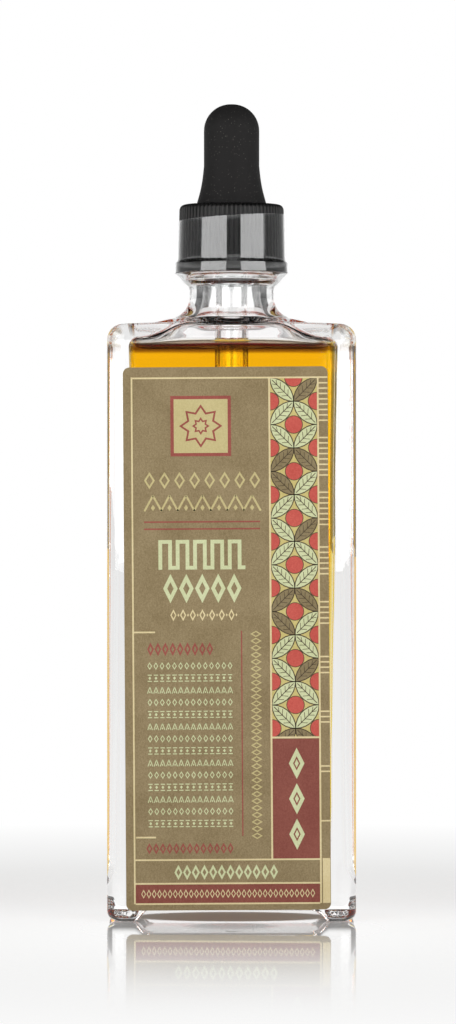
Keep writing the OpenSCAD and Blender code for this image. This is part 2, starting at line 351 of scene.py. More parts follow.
def neck_and_finish(angles):
    """The round part: up the neck, over the ring and the rim, and down the bore."""
    half_ring = ring_h / 2
    profile = [(neck_r, z) for z in neck_straight]
    profile += arc(ring_r - half_ring, ring_z + half_ring, half_ring, -76, 86, 10)
    profile += [(finish_r, z) for z in finish_heights]
    profile += arc(finish_r - rim_r, rim_z - rim_r, rim_r, 0, 90, 5)
    profile += arc(bore_r + bore_edge_r, rim_z - bore_edge_r, bore_edge_r, 90, 180, 4)
    for z in bore_heights:
        share = smooth_step((z - bore_heights[-1]) / (bore_heights[1] - bore_heights[-1]))
        profile.append((neck_bore_r + (bore_r - neck_bore_r) * share, z))
    return [ring_at(angles, r, z) for r, z in profile]


def cavity(angles):
    """The inside, from the throat down to the floor."""
    rings = []
    flare = oval_reach(angles, throat_foot_w, throat_foot_d)
    roof_z = cavity_top_z + throat(flare * np.cos(angles))
    for run, rise in quarter_turn(2 * edge_steps):
        reach = neck_bore_r + (flare - neck_bore_r) * run
        rings.append(ring_at(angles, reach, roof_z + (throat_top_z - roof_z) * (1 - rise)))
    shoulder = cavity_reach(angles, cavity_half_d, 0.0, cavity_top_r)
    for i in range(1, edge_steps):
        reach = flare + (shoulder - flare) * i / edge_steps
        rings.append(raised(ring_at(angles, reach, cavity_top_z), throat, 1.0))
    drops = [1 - rise for run, rise in quarter_turn(edge_steps, 1)]
    heights = [cavity_top_z - cavity_top_r * drop - hair for drop in reversed(drops)]
    heights += [wall_top_z + (wall_low_z - wall_top_z) * i / wall_steps for i in range(wall_steps + 1)]
    heights += [cavity_floor_z + cavity_foot_r * drop for drop in drops[:-1]]
    rings += [cavity_ring(angles, z) for z in heights]
    return rings + [floor_ring(angles, 1 - i / edge_steps) for i in range(edge_steps)]


# Flint glass, pressed and blown: colourless, fire-polished and a little uneven, so it bends what is
# behind it in slow waves. Light for the paper and the floor passes straight through it.
glass_ior = 1.5


def clear_to_lamps(tree, surface, tint):
    """Lets the lamps' light straight through a clear finish, tinted, so that what is inside isn't black."""
    through = add(tree, "ShaderNodeBsdfTransparent", {"Color": tint})
    rays = add(tree, "ShaderNodeLightPath")
    return add(tree, "ShaderNodeMixShader", {0: rays.outputs["Is Shadow Ray"], 1: surface, 2: through})


def clear_glass(tree, place, wave_mm, wave_height_mm):
    uneven = add(tree, "ShaderNodeTexNoise", {"Vector": place, "Scale": 1000 / wave_mm, "Detail": 1.5})
    bump = add(tree, "ShaderNodeBump", {"Height": uneven, "Strength": 1.0, "Distance": wave_height_mm * MM})
    glass = add(tree, "ShaderNodeBsdfPrincipled", {"Base Color": "#ffffff", "Roughness": 0.0,
                                                   "IOR": glass_ior, "Transmission Weight": 1.0,
                                                   "Normal": bump})
    return {"Surface": clear_to_lamps(tree, glass, "#dcdedc")}


def wetted_glass(tree, place):
    """Where liquid wets the glass no air lies between them, so the liquid's own face is the boundary."""
    return {"Surface": add(tree, "ShaderNodeBsdfTransparent", {"Color": "#ffffff"})}


thread_pitch = 3.175
thread_sunk = 0.15
thread_steps = 96
thread_fade_steps = 16
thread_end_height = 0.02
thread_end_width = 0.3


def thread_mesh(root_r, crest_r, start_z, turns, root_w, crest_w):
    """A right-handed screw thread that tapers out at both ends. Its root is sunk into its wall."""
    outward = crest_r > root_r
    base_r = root_r - thread_sunk if outward else root_r + thread_sunk
    steps = int(thread_steps * turns)
    rings = []
    for i in range(steps + 1):
        share = min(i / thread_fade_steps, (steps - i) / thread_fade_steps, 1)
        size = math.sin(math.pi / 2 * share) ** 0.5 if 0 < i < steps else thread_end_height
        crest = root_r + (crest_r - root_r) * size
        turn = 2 * math.pi * i / thread_steps
        section = [(base_r, -root_w / 2), (crest, -crest_w / 2), (crest, crest_w / 2), (base_r, root_w / 2)]
        z = start_z + thread_pitch * i / thread_steps
        rings.append([(r * math.cos(turn), r * math.sin(turn), z + dz * max(size, thread_end_width))
                      for r, dz in (section if outward else reversed(section))])
    return skin(rings)


flint_glass = material_of("flint_glass_blown", clear_glass, wave_mm=9.0, wave_height_mm=0.03)
wetted_half_w = 23.6
wetted_half_d = 12.0
wetted_low_z = 6.0
angles = body_angles()
bottle_rings = base_and_wall(angles) + neck_and_finish(angles) + cavity(angles)
bottle_poles = [(0, 0, arch_h + dimple_rise), (0, 0, cavity_floor_z + push_up)]
moulded = piece("glass_bottle_moulded", skin(bottle_rings, bottle_poles), "bottle",
                flint_glass, ["glass_bottle"], sharp_angle=60)
moulded.data.materials.append(material_of("flint_glass_wetted", wetted_glass))
for face in moulded.data.polygons:
    across, along, height = face.center / MM
    if abs(across) < wetted_half_w and abs(along) < wetted_half_d and wetted_low_z < height < wall_top_z:
        face.material_index = 1
finish_thread = thread_mesh(finish_r, crest_r=9.75, start_z=141.2, turns=1.6, root_w=1.5, crest_w=0.7)
piece("glass_bottle_thread", finish_thread, "bottle", flint_glass)

# The liquid is an alcohol infusion, clear and amber. It wets the glass, so its surface climbs the
# walls and the pipette in a meniscus, and it reaches a hair into the wall so that no air shows.
level_z = 121.9
overlap = 0.1
capillary_mm = 1.45
wall_climb = 2.05
climb_shares = (0.99, 0.95, 0.88, 0.78, 0.67, 0.56, 0.45, 0.35, 0.26, 0.18, 0.11, 0.06, 0.02)
pipette_climb = 1.1
pipette_climb_run = 0.5
pipette_gaps = (2.4, 1.6, 1.1, 0.7, 0.4, 0.2, 0.05)
pipette_r = 3.6
pipette_wall = 0.8
tip_z = 41.8
tip_h = 12.0
tip_r = 1.4
tip_bore_r = 0.6
hole_heights = (115, 100, 85, 70)
roof_rise = 4.0
roof_levels = 60
liquid_steps = 8


def cavity_ring_at(angles, z, grow):
    """The cavity's wall at a true height, found under the roof that rises towards the neck."""
    levels = np.linspace(z - roof_rise, min(z, cavity_top_z - 10 * hair), roof_levels)
    stack = np.array([cavity_ring(angles, level, grow) for level in levels])
    found = [[np.interp(z, stack[:, j, 2], stack[:, j, axis]) for axis in (0, 1)] + [z]
             for j in range(len(angles))]
    return np.array(found)


def meniscus(climb):
    """How far from a wall the surface stands at a height above its level, for a liquid that wets glass."""
    a, top = capillary_mm, wall_climb
    run = a * (math.acosh(2 * a / climb) - math.acosh(2 * a / top))
    return run + math.sqrt(4 * a * a - top * top) - math.sqrt(4 * a * a - climb * climb)


def liquid_mesh():
    rings = [floor_ring(angles, i / liquid_steps, overlap) for i in range(1, liquid_steps)]
    for run, rise in reversed(quarter_turn(liquid_steps)):
        ring = cavity_ring(angles, cavity_floor_z + cavity_foot_r * (1 - rise), overlap)
        ring[:, 2] -= overlap * rise
        rings.append(ring)
    rings += [cavity_ring(angles, wall_low_z + (wall_top_z - wall_low_z) * i / wall_steps, overlap)
              for i in range(1, wall_steps + 1)]
    for z in np.linspace(wall_top_z, level_z + wall_climb, 6)[1:]:
        rings.append(cavity_ring_at(angles, z, overlap))
    for share in climb_shares:
        climb = wall_climb * share
        edge = cavity_ring_at(angles, level_z + climb, 0.0)
        reach = np.hypot(edge[:, 0], edge[:, 1]) - meniscus(climb)
        rings.append(ring_at(angles, reach, level_z + climb))
    for gap in pipette_gaps:
        z = level_z + pipette_climb * math.exp(-gap / pipette_climb_run)
        rings.append(ring_at(angles, pipette_r + gap, z))
    for z in (level_z + pipette_climb, *hole_heights, tip_z + tip_h):
        rings.append(ring_at(angles, pipette_r - overlap, z))
    rings.append(ring_at(angles, tip_r - overlap, tip_z + overlap))
    return skin(rings, [(0, 0, cavity_floor_z + push_up - overlap), (0, 0, tip_z + overlap)])


# Water and alcohol with a plant extract: each metre swallows red, green and blue light at three rates,
# so a thin part is yellow, the depth of the bottle is amber and its width is deep orange. A brown
# line of painted shade stands for the dark rim that the meniscus shows by bending light: on the
# bottle's walls alone, and weaker at its sides.
alcohol_ior = 1.36
swallowed_per_m = (3.9, 37.5, 297.9)
extract_density = 300.0
rim_line_low = (-1.0, -0.3)
rim_line_high = (0.7, 1.05)
rim_line_left = 0.06
rim_line_r = 4.5
rim_line_side = (21.0, 22.0)
rim_line_side_share = 0.25


def amber_liquid(tree, place):
    spot = add(tree, "ShaderNodeSeparateXYZ", {0: place})
    height = spot.outputs["Z"]
    low, high = [[(level_z + rise) * MM for rise in line] for line in (rim_line_low, rim_line_high)]
    above = add(tree, "ShaderNodeMapRange", {"Value": height, "From Min": low[0], "From Max": low[1]},
                interpolation_type="SMOOTHSTEP")
    below = add(tree, "ShaderNodeMapRange", {"Value": height, "From Min": high[0], "From Max": high[1],
                                             "To Min": 1.0, "To Max": rim_line_left})
    band = add(tree, "ShaderNodeMath", {0: above, 1: below}, operation="MULTIPLY")
    level = add(tree, "ShaderNodeVectorMath", {0: place, 1: (1.0, 1.0, 0.0)}, operation="MULTIPLY")
    reach = add(tree, "ShaderNodeVectorMath", {0: level}, operation="LENGTH")
    aside = add(tree, "ShaderNodeMath", {0: reach, 1: rim_line_r * MM}, operation="GREATER_THAN")
    rim = add(tree, "ShaderNodeMath", {0: band, 1: aside}, operation="MULTIPLY")
    sideways = add(tree, "ShaderNodeMath", {0: spot.outputs["X"]}, operation="ABSOLUTE")
    weaker = add(tree, "ShaderNodeMapRange", {"Value": sideways, "From Min": rim_line_side[0] * MM,
                                              "From Max": rim_line_side[1] * MM, "To Min": 1.0,
                                              "To Max": rim_line_side_share})
    line = add(tree, "ShaderNodeMath", {0: rim, 1: weaker}, operation="MULTIPLY")
    # Painted shade: the meniscus's dark rim, as a brown tint on the liquid's surface.
    painted_rim_shade = add(tree, "ShaderNodeMix", {0: line, 6: "#ffffff", 7: "#ad9b8a"}, data_type="RGBA")
    in_air = add(tree, "ShaderNodeBsdfGlass", {"Color": painted_rim_shade, "Roughness": 0.0, "IOR": alcohol_ior})
    on_glass = add(tree, "ShaderNodeBsdfGlass", {"Color": painted_rim_shade, "Roughness": 0.0,
                                                 "IOR": alcohol_ior / glass_ior})
    deep = add(tree, "ShaderNodeMath", {0: height, 1: 0.5 * tip_z * MM}, operation="LESS_THAN")
    outside = add(tree, "ShaderNodeMath", {0: aside, 1: deep}, operation="MAXIMUM")
    low_down = add(tree, "ShaderNodeMath", {0: height, 1: wall_top_z * MM}, operation="LESS_THAN")
    walled = add(tree, "ShaderNodeMath", {0: outside, 1: low_down}, operation="MULTIPLY")
    liquid = add(tree, "ShaderNodeMixShader", {0: walled, 1: in_air, 2: on_glass})
    let_through = [1 - rate / extract_density for rate in swallowed_per_m] + [1.0]
    depth = add(tree, "ShaderNodeVolumeAbsorption", {"Color": let_through, "Density": extract_density})
    return {"Surface": clear_to_lamps(tree, liquid, "#fbeccb"), "Volume": depth}


infusion = material_of("amber_infusion", amber_liquid)
piece("amber_liquid", liquid_mesh(), "bottle", infusion,
      ["bitters_liquid"], sharp_angle=60)

# The label is uncoated kraft paper, stuck on by hand a third of a degree askew. It is printed in flat
# inks: a cream frame, rows of ornament, a panel of leaves and fruit, and a measuring ladder at its edge.
label_w = 43.4
label_h = 115.1
label_x = -1.0
label_y = -14.62
label_t = 0.12
label_z = 60.2
label_tilt = 0.38
label_back = label_y + 0.7 * label_t
ink_t = 0.012
ink_sink = 0.02
grain_mm = 0.22
fibre_mm = 0.35
cloud_mm = 6.0
label_place = (Matrix.Translation(Vector((label_x, label_y, label_z)) * MM)
               @ Matrix.Rotation(-math.radians(label_tilt), 4, "Y")
               @ Matrix.Translation(Vector((-label_w / 2, 0, -label_h / 2)) * MM))


def uncoated_paper(tree, place, dark, light):
    """Paper pulp, or an ink that has sunk into it: fine mottled grain, short fibres and faint clouds."""
    grain = add(tree, "ShaderNodeTexNoise", {"Vector": place, "Scale": 1000 / grain_mm, "Detail": 3.0,
                                             "Roughness": 0.65})
    lay = add(tree, "ShaderNodeMapping", {"Vector": place, "Scale": (1.0, 1.0, 0.45),
                                          "Rotation": (0, 0.4, 0)})
    fibres = add(tree, "ShaderNodeTexNoise", {"Vector": lay, "Scale": 1000 / fibre_mm, "Detail": 2.0})
    clouds = add(tree, "ShaderNodeTexNoise", {"Vector": place, "Scale": 1000 / cloud_mm, "Detail": 2.0})
    both = add(tree, "ShaderNodeMix", {0: 0.25, 2: grain, 3: fibres})
    all_three = add(tree, "ShaderNodeMix", {0: 0.25, 2: both, 3: clouds})
    spread = add(tree, "ShaderNodeMapRange", {"Value": all_three, "From Min": 0.36, "From Max": 0.64})
    face = add(tree, "ShaderNodeMix", {0: spread, 6: dark, 7: light}, data_type="RGBA")
    # Painted light: the label's back, seen through the bottle, is painted a lighter kraft than its face.
    where = add(tree, "ShaderNodeSeparateXYZ", {0: place})
    back_painted_lighter = add(tree, "ShaderNodeMath", {0: where.outputs["Y"], 1: label_back * MM},
                 operation="GREATER_THAN")
    colour = add(tree, "ShaderNodeMix", {0: back_painted_lighter, 6: face, 7: "#c9ae85"}, data_type="RGBA")
    bump = add(tree, "ShaderNodeBump", {"Height": both, "Strength": 0.5, "Distance": 0.012 * MM})
    paper = add(tree, "ShaderNodeBsdfPrincipled", {"Base Color": colour, "Roughness": 0.8,
                                                   "Specular IOR Level": 0.3, "Normal": bump})
    return {"Surface": paper}


def slabs(shapes, level):
    """Flat shapes as closed slabs, some inks high. Outlines run anticlockwise, seen from the front."""
    points, faces = [], []
    for outline in shapes:
        count, start = len(outline), len(points)
        points += [(u, ink_sink, v) for u, v in outline] + [(u, -ink_t * level, v) for u, v in outline]
        faces.append([start + i for i in reversed(range(count))])
        faces.append([start + count + i for i in range(count)])
        for i in range(count):
            k = (i + 1) % count
            faces.append((start + count + i, start + i, start + k, start + count + k))
    return mesh_of(points, faces)


def bar(left, low, right, high):
    return [(left, low), (right, low), (right, high), (left, high)]


def lozenge(u, v, w, h):
    return [(u, v - h / 2), (u + w / 2, v), (u, v + h / 2), (u - w / 2, v)]


def stroke(start, end, width):
    """A straight line of ink with square ends."""
    along = Vector((end[0] - start[0], end[1] - start[1])).normalized() * (width / 2)
    side = (-along.y, along.x)
    return [(start[0] - side[0], start[1] - side[1]), (end[0] - side[0], end[1] - side[1]),
            (end[0] + side[0], end[1] + side[1]), (start[0] + side[0], start[1] + side[1])]


def hoop(outer, inner):
    """The band between two outlines, as one four-sided shape for each of their sides."""
    count = len(outer)
    return [[outer[i], outer[(i + 1) % count], inner[(i + 1) % count], inner[i]] for i in range(count)]


def hollow_lozenge(u, v, w, h, line):
    slope = line * math.hypot(w, h)
    return hoop(lozenge(u, v, w, h), lozenge(u, v, w - slope / h * 2, h - slope / w * 2))


def star(u, v, outer, inner, tips):
    points = []
    for i in range(2 * tips):
        reach = outer if i % 2 == 0 else inner
        turn = math.pi / 2 + math.pi * i / tips
        points.append((u + reach * math.cos(turn), v + reach * math.sin(turn)))
    return points


def clipped(outline, left, low, right, high):
    """The part of a convex outline that lies in a rectangle."""
    for axis, limit, sign in ((0, left, 1), (0, right, -1), (1, low, 1), (1, high, -1)):
        kept = []
        for i, point in enumerate(outline):
            before = outline[i - 1]
            inside, was_inside = (sign * (p[axis] - limit) >= 0 for p in (point, before))
            if inside != was_inside:
                share = (limit - before[axis]) / (point[axis] - before[axis])
                kept.append(tuple(before[k] + share * (point[k] - before[k]) for k in (0, 1)))
            if inside:
                kept.append(point)
        outline = kept
    return outline


def repeat_tree():
    """Copies a mesh along a line or round the axis: a count, a step, a turn and a finish."""
    tree = bpy.data.node_groups.new("repeat_along", "GeometryNodeTree")
    for name, kind in (("Geometry", "Geometry"), ("Count", "Int"), ("Step", "Vector"), ("Turn", "Float"),
                       ("Finish", "Material")):
        tree.interface.new_socket(name, in_out="INPUT", socket_type="NodeSocket" + kind)
    tree.interface.new_socket("Geometry", in_out="OUTPUT", socket_type="NodeSocketGeometry")
    given = add(tree, "NodeGroupInput").outputs
    line = add(tree, "GeometryNodeMeshLine", {"Count": given["Count"], "Offset": given["Step"]},
               mode="OFFSET")
    copies = add(tree, "GeometryNodeInstanceOnPoints", {"Points": line, "Instance": given["Geometry"]})
    index = add(tree, "GeometryNodeInputIndex")
    angle = add(tree, "ShaderNodeMath", {0: index, 1: given["Turn"]}, operation="MULTIPLY")
    axis = add(tree, "ShaderNodeCombineXYZ", {"Z": angle})
    turned = add(tree, "GeometryNodeRotateInstances", {"Instances": copies, "Rotation": axis,
                                                       "Local Space": False})
    real = add(tree, "GeometryNodeRealizeInstances", {0: turned})
    dressed = add(tree, "GeometryNodeSetMaterial", {"Geometry": real, "Material": given["Finish"]})
    add(tree, "NodeGroupOutput", {0: dressed})
    return tree


repeat_along = repeat_tree()


def repeated(mesh, material, count, step=(0, 0, 0), turn=0.0):
    """The mesh copied count times, as one plain mesh. Steps are in millimetres and turns in degrees."""
    carrier = bpy.data.objects.new("carrier", mesh)
    studio.collection.objects.link(carrier)
    modifier = carrier.modifiers.new("repeat", "NODES")
    modifier.node_group = repeat_along
    values = {"Count": count, "Step": [s * MM for s in step], "Turn": math.radians(turn), "Finish": material}
    for item in repeat_along.interface.items_tree:
        if item.in_out == "INPUT" and item.name in values:
            modifier[item.identifier] = values[item.name]
    bpy.context.view_layer.update()
    seen = carrier.evaluated_get(bpy.context.evaluated_depsgraph_get())
    made = bpy.data.meshes.new_from_object(seen)
    bpy.data.objects.remove(carrier)
    return made


def printed(name, ink, rows):
    """Prints rows of marks in one ink. A row is its shapes, their level, and maybe a count and a step."""
    joined = bmesh.new()
    for shapes, level, *run in rows:
        mark = slabs(shapes, level)
        if run:
            count, (step_u, step_v) = run
            mark = repeated(mark, inks[ink], count, (step_u, 0, step_v))
        joined.from_mesh(mark)
    made = bpy.data.meshes.new("mesh")
    joined.to_mesh(made)
    joined.free()
    made.transform(label_place)
    piece(name, made, "bottle", inks[ink], sharp_angle=30)


kraft = material_of("kraft_paper_uncoated", uncoated_paper, dark="#7c6b4b", light="#9b8a69")
ink_colours = (("cream", "#d0be8e", "#e2d3a8"), ("olive_cream", "#b9ab78", "#cabd8b"),
               ("pale_green", "#c0c596", "#d4d9af"), ("brick_red", "#8a473f", "#a0584e"),
               ("maroon", "#7a4038", "#8f5549"), ("fruit_red", "#b54b42", "#c96055"),
               ("straw", "#bdad68", "#cfc182"), ("leaf_brown", "#7d6d4b", "#8f8162"),
               ("umber_line", "#463a2d", "#574a3a"))
inks = {name: material_of(name + "_ink_on_kraft", uncoated_paper, dark=dark, light=light)
        for name, dark, light in ink_colours}
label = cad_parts["front_label"]
label.data.materials.clear()
label.data.materials.append(kraft)

# Marks are placed in millimetres from the label's lower left corner.
frame_bars = [bar(1.66, 1.38, 2.02, 113.0), bar(2.02, 112.6, 43.35, 112.96), bar(2.02, 1.2, 41.1, 1.56),
              bar(2.02, 10.5, 41.1, 10.86), bar(2.02, 5.5, 41.1, 5.86), bar(30.8, 10.86, 31.2, 112.6),
              bar(31.2, 36.3, 41.1, 36.7), bar(41.1, 1.4, 41.48, 112.6), bar(2.02, 58.77, 6.5, 59.13),
              bar(2.2, 15.3, 6.4, 15.66), bar(41.7, 1.4, 43.3, 10.9)]
cream_rows = [(frame_bars, 6)]
ladder_pitch = 1.134
ladder_groups = (8, 8, 7, 6, 5, 4, 3, 2, 1)
for group, count in enumerate(ladder_groups):
    top = 111.6 - 11.6 * group
    cream_rows.append(([bar(41.48, top - 0.16, 43.36, top + 0.16)], 1, count, (0, -ladder_pitch)))
linked_mark = hollow_lozenge(10.4, 62.55, 1.3, 2.5, 0.26) + [lozenge(11.45, 62.55, 0.4, 0.7)]
cream_rows += [(linked_mark, 1, 7, (2.05, 0)), (hollow_lozenge(3.7, 3.5, 1.0, 1.9, 0.16), 3, 33, (1.12, 0))]
printed("label_cream_print", "cream", cream_rows)

emblem = bar(10.73, 96.9, 22.16, 108.3)
zigzag = [stroke((4.4, 84.6), (6.22, 87.9), 0.42), stroke((6.22, 87.9), (8.04, 84.6), 0.42),
          lozenge(6.22, 85.3, 0.9, 1.3)]
printed("label_olive_print", "olive_cream", [
    ([emblem], 1), (hollow_lozenge(5.5, 91.1, 2.3, 3.6, 0.38), 1, 8, (3.19, 0)), (zigzag, 1, 7, (3.5, 0)),
    (hollow_lozenge(27.85, 15.7, 2.4, 1.35, 0.24), 1, 30, (0, 1.475))])


def meander(u, v, w, h, t):
    """One turn of a key pattern, in bars of one width."""
    return [bar(u, v, u + t, v + h), bar(u + t, v + h - t, u + w - t, v + h),
            bar(u + w - 2 * t, v, u + w - t, v + h - t), bar(u + w - t, v, u + w + 0.02, v + t)]


green_rows = [(meander(7.3, 72.2, 3.68, 6.3, 0.8), 1, 5, (3.68, 0)),
              (hollow_lozenge(9.8, 68.2, 3.1, 6.2, 0.78), 1, 5, (3.38, 0))]
fine_marks = [hollow_lozenge(5.3, 0, 1.0, 1.6, 0.17),
              [bar(4.85, 0.55, 5.75, 0.75), lozenge(5.3, 0, 0.6, 0.75), bar(4.85, -0.75, 5.75, -0.55)],
              [stroke((4.8, -0.7), (5.3, 0.7), 0.18), stroke((5.3, 0.7), (5.8, -0.7), 0.18),
               lozenge(5.3, -0.4, 0.34, 0.5)]]
fine_top = 51.8
fine_pitch = 2.569
for line in range(14):
    shapes = [[(u, v + fine_top - fine_pitch * line) for u, v in shape] for shape in fine_marks[line % 3]]
    green_rows.append((shapes, 1, 14, (1.31, 0)))
block_mark = hollow_lozenge(36.3, 16.0, 3.3, 6.6, 0.8) + [lozenge(36.3, 16.0, 0.9, 1.8)]
green_rows += [(hollow_lozenge(11.1, 8.05, 1.7, 3.2, 0.4), 1, 12, (1.84, 0)), (block_mark, 3, 3, (0, 7.5))]

red_rules = [bar(4.3, 82.14, 28.9, 82.46), bar(4.3, 80.64, 28.9, 80.96), bar(24.68, 15.7, 24.93, 59.2)]
emblem_band = hoop(bar(10.03, 96.2, 22.86, 109.0), emblem)
emblem_mid = (16.45, 102.6)
emblem_tips = 8
outer_star, outer_star_hole, inner_star, inner_star_hole = [
    star(*emblem_mid, outer, inner, emblem_tips)
    for outer, inner in ((4.6, 3.1), (3.9, 2.6), (1.9, 1.25), (1.3, 0.85))]
emblem_star = hoop(outer_star, outer_star_hole) + hoop(inner_star, inner_star_hole)
printed("label_red_print", "brick_red", [
    (red_rules + emblem_band, 1), (emblem_star, 2),
    (hollow_lozenge(5.5, 55.35, 1.4, 2.9, 0.34), 1, 9, (1.57, 0)),
    (hollow_lozenge(5.0, 13.1, 1.3, 2.4, 0.3), 1, 13, (1.43, 0))])
printed("label_maroon_print", "maroon", [([bar(2.02, 1.56, 41.1, 5.5), bar(31.2, 10.86, 41.1, 36.3)], 1)])

# The panel is a lattice of leaves, a traditional border, with a round fruit in each opening.
panel = (31.2, 36.7, 41.1, 112.6)
panel_mid = 36.15
leaf_span = 4.95
leaf_steps = 7
leaf_line_w = 0.14
leaf_gap = 0.08
midrib_w = 0.17
vein_w = 0.12
fruit_r = 1.8
fruit_line_w = 0.15
fruit_sides = 12


def leaf(u, v, side, grow):
    """A leaf from a point of the lattice up to the next, on one side. Grow widens it all round."""
    radius = leaf_span + grow
    start = math.asin(min(grow / radius * 0.8, 1))
    points = []
    for mid_u, mid_v, reach in ((u, v + leaf_span, radius), (u + side * leaf_span, v, -radius)):
        for i in range(leaf_steps + 1):
            turn = -start + (math.pi / 2 + 2 * start) * i / leaf_steps
            points.append((mid_u + side * reach * math.sin(turn), mid_v - reach * math.cos(turn)))
    return points if side > 0 else points[::-1]


def veins(u, v, side):
    """A leaf's midrib and its side veins."""
    def spot(along, off):
        return (u + side * (leaf_span * along - off), v + leaf_span * along + off)
    lines = [stroke(spot(0.08, 0), spot(0.92, 0), midrib_w)]
    for along in (0.24, 0.4, 0.56, 0.7):
        reach = 0.78 * math.sin(math.pi * min(along + 0.12, 0.9))
        lines += [stroke(spot(along, 0), spot(along + 0.13, off), vein_w) for off in (reach, -reach)]
    return lines


def in_panel(shapes):
    cut = [clipped(outline, *panel) for outline in shapes]
    return [outline for outline in cut if len(outline) > 2]


fruits, fruit_lines, green_leaves, brown_leaves, leaf_lines, vein_lines = [], [], [], [], [], []
for level in range(-1, 16):
    v = panel[1] + leaf_span * (level + 0.35)
    for step in (0, 1) if level % 2 else (0,):
        u = panel_mid - leaf_span * (level % 2) + 2 * leaf_span * step
        for side in (-1, 1):
            leaf_lines.append(leaf(u, v, side, leaf_line_w))
            tint = green_leaves if (level + side * (step + 1)) % 3 else brown_leaves
            tint.append(leaf(u, v, side, -leaf_gap))
            vein_lines += veins(u, v, side)
        for shapes, r in ((fruit_lines, fruit_r + fruit_line_w), (fruits, fruit_r)):
            shapes.append(star(u, v + leaf_span, r, r, fruit_sides))
printed("label_panel_ground", "straw", [([bar(*panel)], 1)])
printed("label_panel_fruit", "fruit_red", [(in_panel(fruits), 2.5)])
printed("label_panel_leaves", "leaf_brown", [(in_panel(brown_leaves), 4)])
printed("label_panel_lines", "umber_line", [(in_panel(fruit_lines), 1.5), (in_panel(leaf_lines), 3),
                                            (in_panel(vein_lines), 5)])
printed("label_green_print", "pale_green", green_rows + [(in_panel(green_leaves), 4)])

# The pipette is a length of drawn glass tube, its tip pulled narrow in a flame and its top rolled
# into a lip that the rubber grips. It stands full to just above the level of the liquid round it.
lip_r = 0.6
lip_z = 158.05
lathe_steps = 96
tube_heights = (70, 90, 110, 130, 150)
tip_edge_w = 0.15
tip_edge_h = 0.2


def lathe(profile, closed=False, steps=lathe_steps):
    """Turns a profile of radii and heights round the axis. A profile that isn't closed has poles."""
    angles = np.linspace(0, 2 * math.pi, steps, endpoint=False)
    if closed:
        return skin([ring_at(angles, r, z) for r, z in profile], closed=True)
    rings = [ring_at(angles, r, z) for r, z in profile[1:-1]]
    return skin(rings, [(0, 0, profile[0][1]), (0, 0, profile[-1][1])])


def drawn_tip(tip, tube, low_z, start=0):
    """The profile of a wall that the flame has drawn in, from its end up to the full tube."""
    return [(tip + (tube - tip) * smooth_step(i / 10), tip_z + low_z + (tip_h - low_z) * i / 10)
            for i in range(start, 11)]


inner_r = pipette_r - pipette_wall
tube = [(tip_bore_r + tip_edge_w, tip_z), (tip_r - tip_edge_w, tip_z), (tip_r, tip_z + tip_edge_h)]
tube += drawn_tip(tip_r, pipette_r, 0.6, 1) + [(pipette_r, z) for z in tube_heights]
tube += arc(inner_r + lip_r, lip_z, lip_r, -40, 180, 10) + [(inner_r, z) for z in reversed(tube_heights)]
tube += reversed(drawn_tip(tip_bore_r, inner_r, 0.3))
tube_glass = material_of("drawn_glass_tube", clear_glass, wave_mm=14.0, wave_height_mm=0.006)
piece("glass_pipette", lathe(tube, closed=True), "dropper", tube_glass,
      ["glass_pipette"], sharp_angle=50)

column_r = inner_r + 0.05
column_low_z = tip_z + 0.02
column_z = level_z + 1.7
column_climb = 1.0
column_top_radii = (2.5, 2.0, 1.4, 0.7, 0)
column = [(0, column_low_z), (tip_bore_r, column_low_z)] + drawn_tip(tip_bore_r, column_r, 0.3)
column += [(column_r, z) for z in (70, 90, 110, column_z + column_climb)]
column += [(r, column_z + column_climb * (r / column_r) ** 4) for r in column_top_radii]
piece("pipette_liquid", lathe(column), "dropper", infusion,
      ["pipette_liquid"], sharp_angle=60)

# The screw cap is black polypropylene, moulded in one shot: a skirt with fine grip ribs that run over
# its top edge, a plain band at the bottom, a thread inside, and a round hole for the bulb.
cap_z = 138.4
cap_band_r = 12.0
cap_band_h = 2.0
band_top_z = cap_z + cap_band_h
rib_root_r = 11.2
rib_height = 0.27
rib_count = 72
rib_half_w = 0.33
rib_path_shares = (0.0, 0.02, 0.5, 1.0)
rib_sizes = (0.25, 1, 1, 1, 1, 1, 1, 0.95, 0.85, 0.7, 0.1)
rib_section = [(-1.0, -0.3), (-0.92, 0.35), (-0.6, 0.8), (-0.2, 0.98), (0.2, 0.98), (0.6, 0.8),
               (0.92, 0.35), (1.0, -0.3)]
rib_run_out = 0.8
cap_draft = 0.25
cap_top_z = 152.8
cap_edge_r = 1.0
cap_edge_z = cap_top_z - cap_edge_r
cap_foot_edge_r = 0.2
cap_band_edge_r = 0.25
cap_hole_chamfer = 0.3
cap_bore_chamfer = 0.25
cap_hole_r = 5.6
cap_top_t = 1.5
skirt_bore_r = 10.2
skirt_top_r = rib_root_r - cap_draft
seal_z = cap_top_z - cap_top_t
